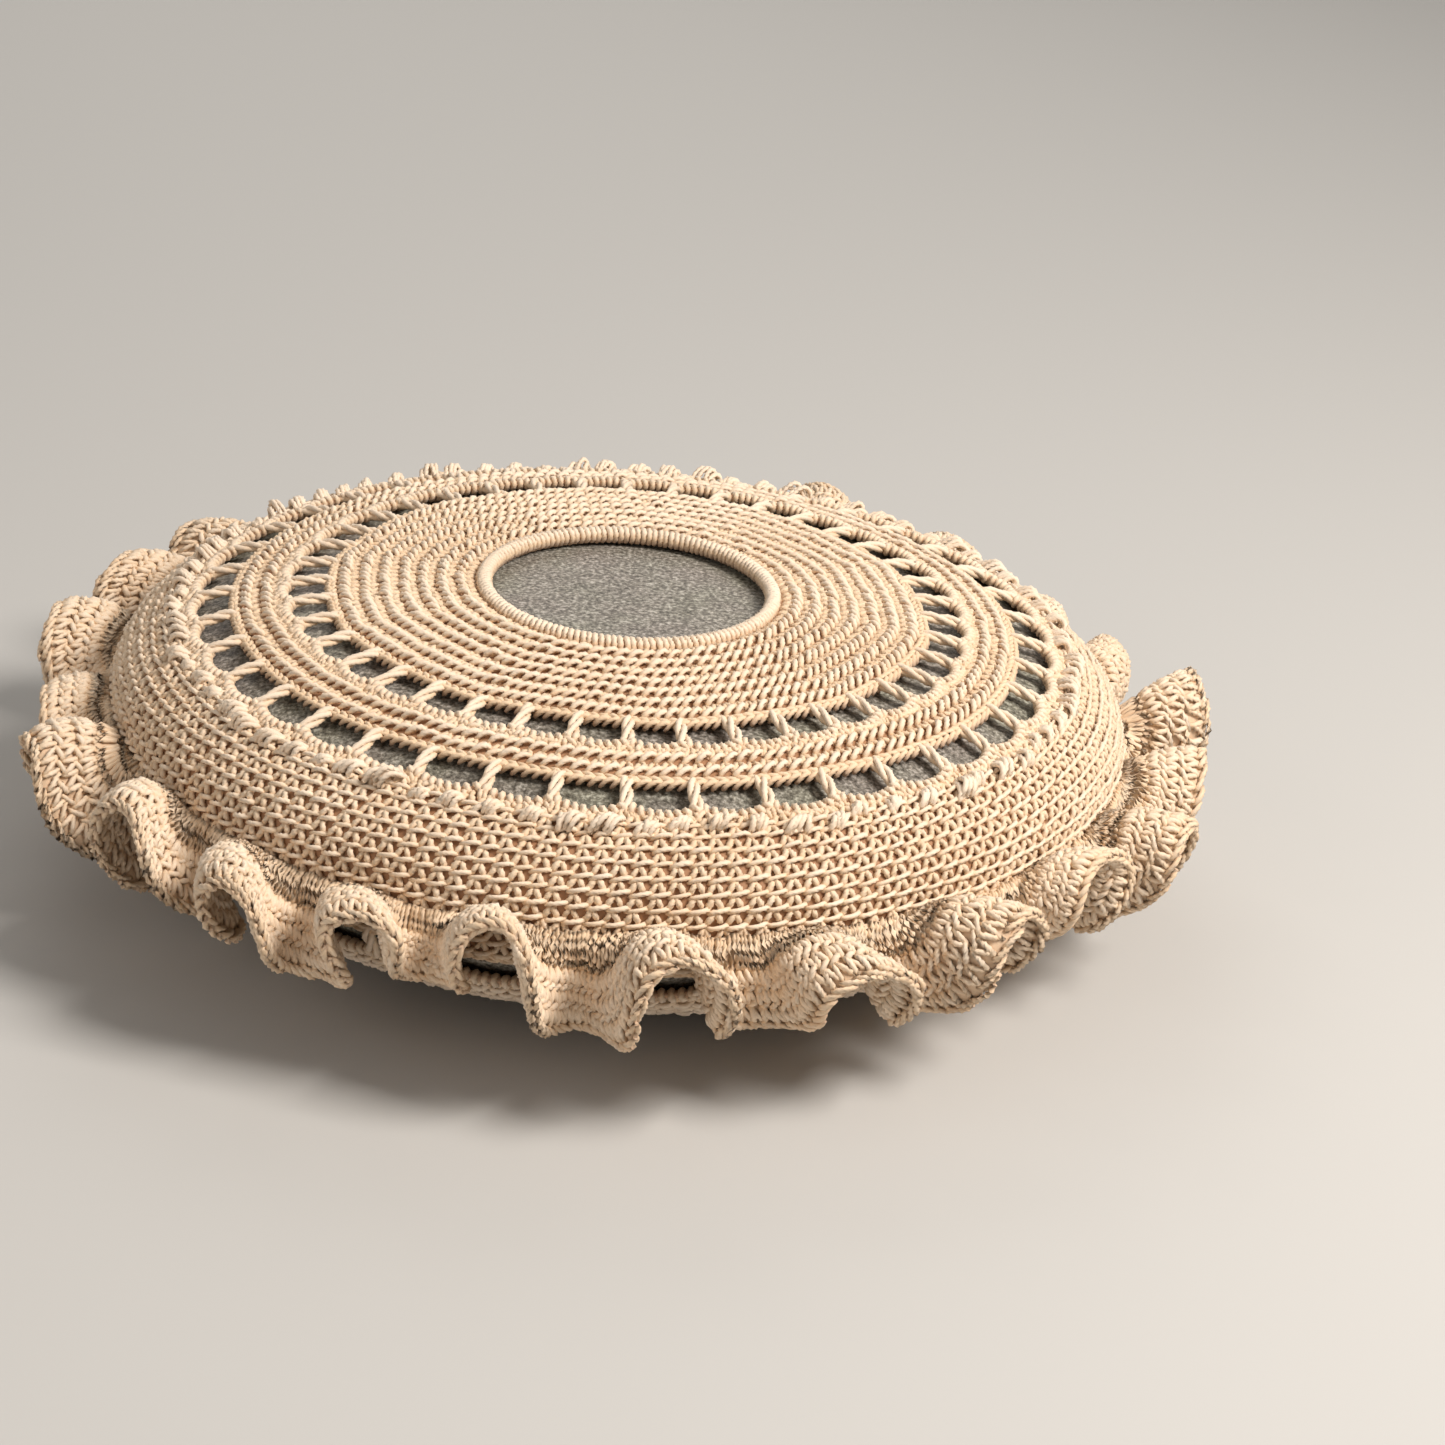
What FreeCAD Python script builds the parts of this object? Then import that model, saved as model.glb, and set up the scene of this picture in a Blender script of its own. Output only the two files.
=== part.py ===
import FreeCAD, Part
import math
import os

# A pin cushion: a smooth flattened stone inside a crocheted cotton cover with a ruffled edge.
# Origin at the centre of the flat rest face, +Z up, millimetres.
# The cover is worked in rounds. Each round is a band that follows the body's outline, and
# neighbouring rounds meet face to face.

# Outline of the covered body
body_radius = 79.5
upper_height = 21.5
lower_height = 24.5
upper_roundness = 2.7
lower_roundness = 2.2
rest_face_radius = 30.0
rest_face_proud = 0.8

# Crocheted cover
cover_thickness = 2.4
cover_clearance = 0.2
ridge_height = 0.5

# Window and its padded ring
window_radius = 21.3
ring_width = 3.0
ring_bulge = 1.2

# Rounds from the ring outwards, widths measured along the outline
top_round_count = 7
top_round_width = 3.1
inner_lace_chain_width = 1.3
inner_lace_post_length = 5.6
outer_lace_chain_width = 1.4
outer_lace_post_length = 5.7
lace_post_count = 40
lace_post_width = 1.9
lace_post_thickness = 1.5
middle_round_count = 2
middle_round_width = 3.1
bobble_count = 80
bobble_length = 3.8
bobble_height = 1.5
bobble_fill = 0.8
side_round_count = 6

# Ruffle, worked outwards from its own foundation round
ruffle_rise = 1.0
ruffle_foundation_width = 2.6
ruffle_width = 13.0
ruffle_thickness = 1.6
ruffle_clearance = 0.1
ruffle_lobes = 24
ruffle_droop = 36.0
ruffle_swing = 38.0
ruffle_swing_variation = 8.0
ruffle_overhang = 1.5
ruffle_tall_share = 0.38
ruffle_low_share = 0.2
ruffle_low_count = 2
points_per_lobe = 12

# Underside
hem_round_count = 2
hem_round_width = 2.3
under_chain_width = 1.3
under_post_length = 5.0
under_round_count = 10

# The outline is sampled this finely, from the top's centre to the rest face's centre
outline_steps = 240

equator_height = rest_face_proud + lower_height
Z_AXIS = FreeCAD.Vector(0, 0, 1)
CENTRE = FreeCAD.Vector(0, 0, 0)


def upper_point(turn):
    """Radius and height on the upper half, turn running from 0 at the top to 1 at the equator."""
    angle = turn * math.pi / 2
    radius = body_radius * math.sin(angle) ** (2 / upper_roundness)
    height = equator_height + upper_height * max(math.cos(angle), 0.0) ** (2 / upper_roundness)
    return radius, height


def lower_point(turn):
    """Radius and height on the lower half, turn running from 0 at the equator to 1 at the rest face."""
    angle = turn * math.pi / 2
    swell = body_radius - rest_face_radius
    radius = rest_face_radius + swell * max(math.cos(angle), 0.0) ** (2 / lower_roundness)
    height = equator_height - lower_height * math.sin(angle) ** (2 / lower_roundness)
    return radius, height


def outline():
    """The body's outline as a list of (length from the top, radius, height)."""
    places = [upper_point(step / outline_steps) for step in range(outline_steps + 1)]
    places += [lower_point(step / outline_steps) for step in range(1, outline_steps + 1)]
    rows = []
    length = 0.0
    last = places[0]
    for place in places:
        length += math.dist(place, last)
        rows.append((length, place[0], place[1]))
        last = place
    return rows


OUTLINE = outline()
OUTLINE_LENGTH = OUTLINE[-1][0]


def place_at(length):
    """Radius and height at a length along the outline."""
    for before, after in zip(OUTLINE, OUTLINE[1:]):
        if after[0] >= length:
            break
    share = (length - before[0]) / (after[0] - before[0])
    radius = before[1] + share * (after[1] - before[1])
    height = before[2] + share * (after[2] - before[2])
    return radius, height


def length_at_height(height):
    """Length along the outline where its upper half comes down to a height."""
    for before, after in zip(OUTLINE, OUTLINE[1:]):
        if after[2] <= height:
            break
    share = (before[2] - height) / (before[2] - after[2])
    return before[0] + share * (after[0] - before[0])


def offset_place(length, outwards):
    """A point of the XZ half plane, the given distance outside the outline."""
    reach = 0.4
    ahead = place_at(min(length + reach, OUTLINE_LENGTH))
    behind = place_at(max(length - reach, 0.0))
    along = math.dist(ahead, behind)
    normal_radius = -(ahead[1] - behind[1]) / along
    normal_height = (ahead[0] - behind[0]) / along
    radius, height = place_at(length)
    return FreeCAD.Vector(radius + outwards * normal_radius, 0, height + outwards * normal_height)


def band_face(start, end, inner, outer, bulge):
    """Section of a round between two lengths, from the inner to the outer offset."""
    middle = (start + end) / 2
    inside_start = offset_place(start, inner)
    inside_end = offset_place(end, inner)
    outside_start = offset_place(start, outer)
    outside_end = offset_place(end, outer)
    edges = [
        Part.Arc(inside_start, offset_place(middle, inner), inside_end).toShape(),
        Part.makeLine(inside_end, outside_end),
        Part.Arc(outside_end, offset_place(middle, outer + bulge), outside_start).toShape(),
        Part.makeLine(outside_start, inside_start),
    ]
    return Part.Face(Part.Wire(edges))


def full_round(start, width, bulge):
    """One closed round of the cover."""
    face = band_face(start, start + width, -cover_thickness, 0.0, bulge)
    return face.revolve(CENTRE, Z_AXIS, 360)


def repeated_round(start, length, outer, bulge, count, width):
    """A round of separate pieces, equally spaced, each of the given width along the round."""
    face = band_face(start, start + length, -cover_thickness, outer, bulge)
    radius = place_at(start + length / 2)[0]
    angle = math.degrees(width / radius)
    pieces = []
    for index in range(count):
        piece = face.revolve(CENTRE, Z_AXIS, angle)
        piece.rotate(CENTRE, Z_AXIS, index * 360 / count - angle / 2)
        pieces.append(piece)
    return Part.makeCompound(pieces)


def lace_posts(start, length):
    """The posts of a lace round, with open holes between them."""
    outer = lace_post_thickness - cover_thickness
    return repeated_round(start, length, outer, ridge_height / 2, lace_post_count, lace_post_width)


def stone_core():
    """The stone: the outline moved in by the cover and its clearance, flat underneath."""
    inset = -(cover_thickness + cover_clearance)
    floor = rest_face_proud - inset
    flat_start = OUTLINE[-1][0] - 2.0
    count = 40
    points = [offset_place(flat_start * step / count, inset) for step in range(count + 1)]
    points[0] = FreeCAD.Vector(0, 0, points[0].z)
    points = [point for point in points if point.z > floor]
    points.append(FreeCAD.Vector(rest_face_radius - cover_clearance, 0, floor))
    curve = Part.BSplineCurve()
    curve.interpolate(points)
    foot = FreeCAD.Vector(0, 0, floor)
    edges = [
        curve.toShape(),
        Part.makeLine(points[-1], foot),
        Part.makeLine(foot, points[0]),
    ]
    return Part.Face(Part.Wire(edges)).revolve(CENTRE, Z_AXIS, 360)


def base_disc():
    """The closed middle of the underside, with the flat face that the cushion rests on."""
    return Part.makeCylinder(rest_face_radius, rest_face_proud + cover_thickness)


def ruffle_frame(theta):
    """Outward direction, direction of working and sideways shift of the ruffle at an angle."""
    phase = ruffle_lobes * theta
    variation = ruffle_swing_variation * math.sin(5 * theta + 1.0)
    tilt = math.radians((ruffle_swing + variation) * math.sin(phase) - ruffle_droop)
    outward = FreeCAD.Vector(math.cos(theta), math.sin(theta), 0)
    along = FreeCAD.Vector(-math.sin(theta), math.cos(theta), 0)
    rule = outward * math.cos(tilt) + Z_AXIS * math.sin(tilt)
    normal = rule.cross(along)
    shift = along * (-ruffle_overhang * math.sin(2 * phase))
    return outward, rule, normal, shift


def ruffle_curve(share, side):
    """Closed curve around the ruffle at a share of its width, on its upper or lower side."""
    root_radius = place_at(ruffle_middle)[0] + ridge_height + ruffle_thickness / 2 + ruffle_clearance
    root_height = place_at(ruffle_middle)[1]
    count = ruffle_lobes * points_per_lobe
    points = []
    for index in range(count):
        theta = 2 * math.pi * index / count
        outward, rule, normal, shift = ruffle_frame(theta)
        root = outward * root_radius + Z_AXIS * root_height
        reach = rule * (share * ruffle_width) + shift * share
        points.append(root + reach + normal * (side * ruffle_thickness / 2))
    curve = Part.BSplineCurve()
    curve.interpolate(Points=points, PeriodicFlag=True, Parameters=list(range(count + 1)))
    return curve.toShape()


def ruffle_round(start_share, end_share):
    """A closed wavy band of the ruffle between two shares of its width."""
    corners = [
        ruffle_curve(start_share, 1),
        ruffle_curve(end_share, 1),
        ruffle_curve(end_share, -1),
        ruffle_curve(start_share, -1),
    ]
    faces = []
    for first, second in zip(corners, corners[1:] + corners[:1]):
        faces.append(Part.makeRuledSurface(first, second))
    shell = Part.Shell(Part.Compound(faces).Faces)
    shell.sewShape()
    solid = Part.Solid(Part.Shell(shell.Faces))
    if solid.Volume < 0:
        solid.reverse()
    return solid


def add_rounds(parts, name, count, start, width):
    """Add numbered rounds side by side and return where the next one starts."""
    for number in range(1, count + 1):
        parts[f"{name}_{number}"] = full_round(start, width, ridge_height)
        start += width
    return start


def add_lace(parts, name, start, chain_width, post_length):
    """Add a lace round, its chain edges and posts, and return where the next round starts."""
    parts[f"{name}_inner_chain"] = full_round(start, chain_width, 0.0)
    start += chain_width
    parts[f"{name}_posts"] = lace_posts(start, post_length)
    start += post_length
    parts[f"{name}_outer_chain"] = full_round(start, chain_width, 0.0)
    return start + chain_width


def add_ruffle(parts):
    """Add the tall round, the low rounds and the edge round, each growing out of the last."""
    share = ruffle_tall_share
    parts["ruffle_tall_round"] = ruffle_round(0.0, share)
    for number in range(1, ruffle_low_count + 1):
        parts[f"ruffle_low_round_{number}"] = ruffle_round(share, share + ruffle_low_share)
        share += ruffle_low_share
    parts["ruffle_edge_round"] = ruffle_round(share, 1.0)


ruffle_middle = length_at_height(equator_height + ruffle_rise)


def build_parts():
    """Every sub-part by its name, from the window outwards and down to the rest face."""
    parts = {"stone_core": stone_core()}
    parts["window_ring"] = full_round(window_radius, ring_width, ring_bulge)
    place = window_radius + ring_width
    place = add_rounds(parts, "top_round", top_round_count, place, top_round_width)
    place = add_lace(parts, "inner_lace", place, inner_lace_chain_width, inner_lace_post_length)
    place = add_rounds(parts, "middle_round", middle_round_count, place, middle_round_width)
    place = add_lace(parts, "outer_lace", place, outer_lace_chain_width, outer_lace_post_length)
    bobble_width = bobble_fill * 2 * math.pi * place_at(place)[0] / bobble_count
    parts["bobble_round"] = repeated_round(
        place, bobble_length, 0.0, bobble_height, bobble_count, bobble_width
    )
    place += bobble_length
    ruffle_start = ruffle_middle - ruffle_foundation_width / 2
    side_round_width = (ruffle_start - place) / side_round_count
    print(f"side rounds are {side_round_width:.2f} mm wide")
    place = add_rounds(parts, "side_round", side_round_count, place, side_round_width)
    parts["ruffle_foundation"] = full_round(place, ruffle_foundation_width, ridge_height)
    place += ruffle_foundation_width
    add_ruffle(parts)
    place = add_rounds(parts, "hem_round", hem_round_count, place, hem_round_width)
    place = add_lace(parts, "under_lace", place, under_chain_width, under_post_length)
    under_round_width = (OUTLINE_LENGTH - place) / under_round_count
    print(f"under rounds are {under_round_width:.2f} mm wide")
    add_rounds(parts, "under_round", under_round_count, place, under_round_width)
    parts["base_disc"] = base_disc()
    return parts


os.makedirs("parts", exist_ok=True)
for node, shape in build_parts().items():
    print(node, len(shape.Solids), shape.isValid(), round(shape.Volume, 1))
    shape.exportStep(f"parts/{node}.step")
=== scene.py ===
import math

import bpy
import numpy as np
from mathutils import Matrix, Vector


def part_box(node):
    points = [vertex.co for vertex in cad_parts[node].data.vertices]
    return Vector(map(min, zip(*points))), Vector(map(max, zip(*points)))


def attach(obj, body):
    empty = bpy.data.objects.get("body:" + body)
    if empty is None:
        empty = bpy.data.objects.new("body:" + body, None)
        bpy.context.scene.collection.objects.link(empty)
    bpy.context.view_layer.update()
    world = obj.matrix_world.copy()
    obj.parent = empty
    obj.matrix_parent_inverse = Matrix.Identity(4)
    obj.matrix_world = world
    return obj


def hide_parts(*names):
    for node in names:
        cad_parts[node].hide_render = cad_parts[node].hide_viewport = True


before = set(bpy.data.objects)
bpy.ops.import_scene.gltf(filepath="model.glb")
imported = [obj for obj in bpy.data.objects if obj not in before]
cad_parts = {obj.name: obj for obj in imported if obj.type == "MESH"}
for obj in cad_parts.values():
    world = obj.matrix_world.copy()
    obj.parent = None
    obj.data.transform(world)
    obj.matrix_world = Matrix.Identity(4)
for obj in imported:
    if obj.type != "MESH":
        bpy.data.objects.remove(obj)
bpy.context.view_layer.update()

MM = 0.001
random = np.random.default_rng(11)

# Crochet cotton: three plies twisted together, drawn as a tube with six sides
YARN_RADIUS = 0.43 * MM
PLIES = 3
PLY_PITCH = 2.6 * MM
PLY_DEPTH = 0.13
TUBE_SIDES = 6
END_WIDTH = 0.7

# Outline of the covered body, the same curve as the CAD outline
COVER_THICKNESS = 2.4 * MM
COVER_CLEARANCE = 0.2 * MM
UPPER_ROUNDNESS = 2.7
LOWER_ROUNDNESS = 2.2
# The fabric's own backing cloth, darkened as painted shade between the stitches, lies this far under
# the outline, and stitches are lifted from it
BACKING_DEPTH = 1.3 * MM

stone_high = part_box("stone_core")[1]
base_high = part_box("base_disc")[1]
foundation_low, foundation_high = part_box("ruffle_foundation")
BODY_RADIUS = stone_high[0] + COVER_THICKNESS + COVER_CLEARANCE
TOP_HEIGHT = stone_high[2] + COVER_THICKNESS + COVER_CLEARANCE
REST_RADIUS = base_high[0]
REST_HEIGHT = base_high[2] - COVER_THICKNESS
RUFFLE_RISE = 1.0 * MM
ROOT_HEIGHT = (foundation_low[2] + foundation_high[2]) / 2
EQUATOR_HEIGHT = ROOT_HEIGHT - RUFFLE_RISE

# Widths of the rounds along the outline, from the window to the ruffle
WINDOW_RADIUS = 21.3 * MM
RING_WIDTH = 3.0 * MM
TOP_ROUNDS = 7
TOP_ROUND_WIDTH = 3.1 * MM
INNER_CHAIN_WIDTH = 1.3 * MM
INNER_POST_LENGTH = 5.6 * MM
MIDDLE_ROUNDS = 2
MIDDLE_ROUND_WIDTH = 3.1 * MM
OUTER_CHAIN_WIDTH = 1.4 * MM
OUTER_POST_LENGTH = 5.7 * MM
BOBBLE_LENGTH = 3.8 * MM
SIDE_ROUNDS = 6
FOUNDATION_WIDTH = 2.6 * MM
HEM_ROUNDS = 2
HEM_ROUND_WIDTH = 2.3 * MM
UNDER_CHAIN_WIDTH = 1.3 * MM
UNDER_POST_LENGTH = 5.0 * MM
UNDER_ROUNDS = 10
BASE_ROWS = 11

# Stitches, holes and bobbles to a round
FIRST_TOP_STITCHES = 84
LAST_TOP_STITCHES = 160
MIDDLE_STITCHES = 176
LACE_HOLES = 40
SIDE_STITCHES = 174
BOBBLES = 80
UNDER_STITCH_WIDTH = 2.6 * MM

# The ruffle: its rounds take shares of its width
RUFFLE_LOBES = 24
RUFFLE_WIDTH = 13.0 * MM
RUFFLE_TALL_SHARE = 0.38
RUFFLE_LOW_SHARE = 0.2
RUFFLE_LOW_ROUNDS = 2
RUFFLE_TALL_STITCHES = 430
RUFFLE_LOW_STITCHES = 600
RUFFLE_EDGE_STITCHES = 660
RUFFLE_ROOT = BODY_RADIUS - 0.3 * MM


# ---------------------------------------------------------------- outline

UPPER_POINTS = 400


def outline_points():
    """Radius and height from the centre of the top to the centre of the rest face."""
    turn = np.linspace(0.0, math.pi / 2, UPPER_POINTS)
    upper = TOP_HEIGHT - EQUATOR_HEIGHT
    lower = EQUATOR_HEIGHT - REST_HEIGHT
    upper_radius = BODY_RADIUS * np.sin(turn) ** (2 / UPPER_ROUNDNESS)
    upper_height = EQUATOR_HEIGHT + upper * np.abs(np.cos(turn)) ** (2 / UPPER_ROUNDNESS)
    swell = BODY_RADIUS - REST_RADIUS
    lower_radius = REST_RADIUS + swell * np.abs(np.cos(turn)) ** (2 / LOWER_ROUNDNESS)
    lower_height = EQUATOR_HEIGHT - lower * np.sin(turn) ** (2 / LOWER_ROUNDNESS)
    centre = np.array([0.0])
    radius = np.concatenate([upper_radius, lower_radius[1:], centre])
    height = np.concatenate([upper_height, lower_height[1:], centre + REST_HEIGHT])
    return radius, height


radii, heights = outline_points()
steps = np.hypot(np.diff(radii), np.diff(heights))
lengths = np.concatenate([[0.0], np.cumsum(steps)])
BODY_LENGTH = lengths[-2]
slope_radius = np.gradient(radii, lengths)
slope_height = np.gradient(heights, lengths)


TOP_CORNERS = 10
CORNER_TURN = 0.2
CORNER_STRENGTH = 0.42
WAVER = 0.16 * MM


def fade(length, begin, full, still, gone):
    """1 from full to still along the outline, falling to 0 at begin and at gone."""
    rise = np.clip((length - begin) / (full - begin), 0, 1)
    fall = np.clip((gone - length) / (gone - still), 0, 1)
    return rise * fall


def wander(theta, length):
    """Small drift of the rounds, as handwork has: soft corners on the top and a slow waver."""
    angle = np.mod(theta + CORNER_TURN, 2 * math.pi / TOP_CORNERS) - math.pi / TOP_CORNERS
    corner = (1 - math.cos(math.pi / TOP_CORNERS) / np.cos(angle)) * length
    near = fade(length, 24 * MM, 36 * MM, 44 * MM, 52 * MM)
    waver = np.sin(3 * theta + 1.0 + 40 * length) + 0.7 * np.sin(7 * theta + 90 * length)
    side = fade(length, 30 * MM, 50 * MM, BODY_LENGTH - 30 * MM, BODY_LENGTH)
    return length - CORNER_STRENGTH * corner * near + WAVER * waver * side


def place(theta, length, lift):
    """Points on the body: angle round it, length along the outline, lift above the backing."""
    length = wander(theta, length)
    radius = np.interp(length, lengths, radii)
    height = np.interp(length, lengths, heights)
    out_radius = -np.interp(length, lengths, slope_height)
    out_height = np.interp(length, lengths, slope_radius)
    size = np.hypot(out_radius, out_height)
    reach = (lift - BACKING_DEPTH) / size
    radius = radius + reach * out_radius
    height = height + reach * out_height
    return np.stack([radius * np.cos(theta), radius * np.sin(theta), height], axis=-1)


def ring_length(length):
    """Length once round the body at a place on the outline."""
    return 2 * math.pi * float(np.interp(length, lengths, radii))


# ---------------------------------------------------------------- yarn

def smooth(points, count):
    """Catmull-Rom curve through points, sampled evenly in its parameter."""
    points = np.asarray(points, float)
    padded = np.concatenate([[2 * points[0] - points[1]], points, [2 * points[-1] - points[-2]]])
    at = np.linspace(0, len(points) - 1, count)
    index = np.minimum(at.astype(int), len(points) - 2)
    t = (at - index)[:, None]
    a = padded[index]
    b = padded[index + 1]
    c = padded[index + 2]
    d = padded[index + 3]
    square = 2 * a - 5 * b + 4 * c - d
    cube = 3 * b - a - 3 * c + d
    return 0.5 * (2 * b + (c - a) * t + square * t**2 + cube * t**3)


def unit(vectors):
    """Vectors scaled to length 1."""
    return vectors / (np.linalg.norm(vectors, axis=-1, keepdims=True) + 1e-12)


# A direction that no strand begins along
NORMAL_GUIDE = [0.13, 0.29, 0.95]


def carried_normals(tangents):
    """A normal at every point of each strand, carried along it so that the tube isn't wrung."""
    normals = np.zeros_like(tangents)
    normals[:, 0] = unit(np.cross(tangents[:, 0], NORMAL_GUIDE))
    for step in range(1, tangents.shape[1]):
        carried = normals[:, step - 1]
        along = tangents[:, step]
        carried = carried - np.sum(carried * along, axis=-1, keepdims=True) * along
        normals[:, step] = unit(carried)
    return normals


def end_cap(ring, second, third):
    """Triangles that close each tube's end, in a fan from its ring's first point."""
    centre = np.broadcast_to(ring[:, :1], ring[:, second].shape)
    return np.stack([centre, ring[:, second], ring[:, third]], axis=-1).reshape(-1, 3)


def band_quads(index):
    """Faces of a band of points that closes in both directions."""
    ahead = np.roll(index, -1, 0)
    return np.stack([index, ahead, np.roll(ahead, -1, 1), np.roll(index, -1, 1)], axis=-1)


NO_TRIANGLES = np.zeros((0, 3), int)


class Yarn:
    """Collects strands of yarn and surfaces, and makes one mesh of them."""

    def __init__(self):
        self.points = []
        self.depths = []
        self.quads = []
        self.tris = []
        self.count = 0

    def add(self, points, depths, quads, tris):
        """Points with their colour depths, and faces that count from these points' own first."""
        self.points.append(points.reshape(-1, 3))
        self.depths.append(np.broadcast_to(depths, points.shape[:-1]).reshape(-1))
        self.quads.append(quads.reshape(-1, 4) + self.count)
        self.tris.append(tris.reshape(-1, 3) + self.count)
        self.count += points.reshape(-1, 3).shape[0]

    def strands(self, paths, depths, radius, closed=False):
        """Plied tubes along paths of shape (strands, points, 3)."""
        strands, count = paths.shape[:2]
        if closed:
            tangents = unit(np.roll(paths, -1, 1) - np.roll(paths, 1, 1))
        else:
            tangents = unit(np.gradient(paths, axis=1))
        paces = np.linalg.norm(np.diff(paths, axis=1), axis=-1)
        so_far = np.concatenate([np.zeros((strands, 1)), np.cumsum(paces, axis=1)], axis=1)
        normals = carried_normals(tangents)
        sides = np.cross(tangents, normals)
        turn = np.arange(TUBE_SIDES) * 2 * math.pi / TUBE_SIDES
        start = random.uniform(0, 2 * math.pi, (strands, 1, 1))
        if closed:
            # The plies meet themselves, so the twist is a whole number of plies
            gap = np.linalg.norm(paths[:, 0] - paths[:, -1], axis=-1, keepdims=True)
            whole = so_far[:, -1:] + gap
            twists = np.round(PLIES * whole / PLY_PITCH) / PLIES
            spin = so_far / whole * twists * 2 * math.pi
        else:
            spin = so_far / PLY_PITCH * 2 * math.pi
        angle = turn[None, None, :] + spin[:, :, None] + start
        ply = 1 + PLY_DEPTH * np.cos(PLIES * turn)
        width = np.broadcast_to(np.asarray(radius, float).reshape(-1, 1), (strands, count)).copy()
        if not closed:
            width[:, 0] *= END_WIDTH
            width[:, -1] *= END_WIDTH
        ring = width[:, :, None] * ply[None, None, :]
        points = (
            paths[:, :, None, :]
            + ring[..., None] * np.cos(angle)[..., None] * normals[:, :, None, :]
            + ring[..., None] * np.sin(angle)[..., None] * sides[:, :, None, :]
        )
        index = np.arange(strands * count * TUBE_SIDES).reshape(strands, count, TUBE_SIDES)
        ahead = np.roll(index, -1, 1) if closed else index[:, 1:]
        here = index if closed else index[:, :-1]
        quads = np.stack([here, np.roll(here, -1, 2), np.roll(ahead, -1, 2), ahead], axis=-1)
        tris = NO_TRIANGLES
        if not closed:
            spokes = np.arange(1, TUBE_SIDES - 1)
            start_cap = end_cap(index[:, 0], spokes + 1, spokes)
            tris = np.concatenate([start_cap, end_cap(index[:, -1], spokes, spokes + 1)])
        depth = np.broadcast_to(np.asarray(depths, float), (strands, count))
        self.add(points, np.repeat(depth[..., None], TUBE_SIDES, axis=2), quads, tris)

    def shell(self, outer, inner, depth):
        """A closed band between two grids of points that go all the way round (steps, across, 3)."""
        around, across = outer.shape[:2]
        loop = np.concatenate([outer, inner[:, ::-1]], axis=1)
        index = np.arange(around * 2 * across).reshape(around, 2 * across)
        self.add(loop, depth, band_quads(index), NO_TRIANGLES)

    def mesh(self, name):
        """The mesh of everything added, with the colour depths, which set the painted shade, in the
        attribute "height".
        """
        points = np.concatenate(self.points)
        quads = np.concatenate(self.quads)
        tris = np.concatenate(self.tris)
        mesh = bpy.data.meshes.new(name)
        mesh.vertices.add(len(points))
        mesh.vertices.foreach_set("co", points.astype(np.float32).ravel())
        mesh.loops.add(quads.size + tris.size)
        corners = np.concatenate([quads.ravel(), tris.ravel()])
        mesh.loops.foreach_set("vertex_index", corners.astype(np.int32))
        starts = np.concatenate([np.arange(len(quads)) * 4, quads.size + np.arange(len(tris)) * 3])
        mesh.polygons.add(len(starts))
        mesh.polygons.foreach_set("loop_start", starts.astype(np.int32))
        mesh.polygons.foreach_set("use_smooth", np.ones(len(starts), bool))
        depth = mesh.attributes.new("height", "FLOAT", "POINT")
        depth.data.foreach_set("value", np.concatenate(self.depths).astype(np.float32))
        mesh.update(calc_edges=True)
        mesh.validate()
        return mesh


def piece(name, yarn, material, nodes):
    """One object of the collected yarn, standing for its CAD nodes if it has any."""
    obj = bpy.data.objects.new(name, yarn.mesh(name))
    bpy.context.scene.collection.objects.link(obj)
    obj.data.materials.append(material)
    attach(obj, "root")
    if nodes:
        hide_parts(*nodes)
    return obj


# A strip narrower than this isn't measured for its rims and area
NARROWEST_SHEET = 10 * MM
# The cloth goes this far under a lace round's braid, as a share of the braid's width
CLOTH_TUCK = 0.6
CLOTH_STEPS = 180
CLOTH_STEP = 1.2 * MM
CLOTH_HALF = 0.35 * MM
# The cloth's colour attribute: low, for painted shade between the stitches
CLOTH_SHADE_TONE = 0.1


def measured_area(grid):
    """Area of a grid of points that goes all the way round (steps, across, 3)."""
    ahead = np.roll(grid, -1, 0)
    first = np.cross(ahead[:, :-1] - grid[:, :-1], ahead[:, 1:] - grid[:, :-1])
    second = np.cross(ahead[:, 1:] - grid[:, :-1], grid[:, 1:] - grid[:, :-1])
    return float(np.linalg.norm(first, axis=-1).sum() + np.linalg.norm(second, axis=-1).sum()) / 2


def fabric(
    name,
    surface,
    start,
    end,
    steps_round=CLOTH_STEPS,
    step_across=CLOTH_STEP,
    span=1.0,
    half=CLOTH_HALF,
    depth=CLOTH_SHADE_TONE,
):
    """The closed cloth under the stitches; where it is wide enough, its rims and area are measured.

    surface(theta, place, lift) gives its points, span is what one unit of place measures, half is
    half its thickness and depth is its colour depth, low for painted shade between the stitches.
    """
    theta = np.linspace(0, 2 * math.pi, steps_round, endpoint=False)[:, None]
    across = max(int((end - start) * span / step_across), 1) + 1
    theta, where = np.broadcast_arrays(theta, np.linspace(start, end, across)[None, :])
    yarn = Yarn()
    yarn.shell(surface(theta, where, half), surface(theta, where, -half), depth)
    obj = piece(name, yarn, cotton, [])
    if (end - start) * span < NARROWEST_SHEET:
        return
    middle = surface(theta, where, 0.0)
    rims = np.linalg.norm(np.roll(middle, -1, 0) - middle, axis=-1).sum(0)
    area = measured_area(middle)


# ---------------------------------------------------------------- materials

WHITE = (1.0, 1.0, 1.0)
# Cotton: pale on the ridges, and the painted shade it turns to deep in the gaps between strands
COTTON_LIGHT = (0.95, 0.80, 0.64)
COTTON_PAINTED_SHADE = (0.40, 0.20, 0.095)


def multiplied(nodes, links, strength, first, second):
    """The first colour multiplied by the second, as strongly as strength says."""
    mix = nodes.new("ShaderNodeMix")
    mix.data_type = "RGBA"
    mix.blend_type = "MULTIPLY"
    mix.inputs[0].default_value = strength
    links.new(first, mix.inputs[6])
    links.new(second, mix.inputs[7])
    return mix.outputs[2]


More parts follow.
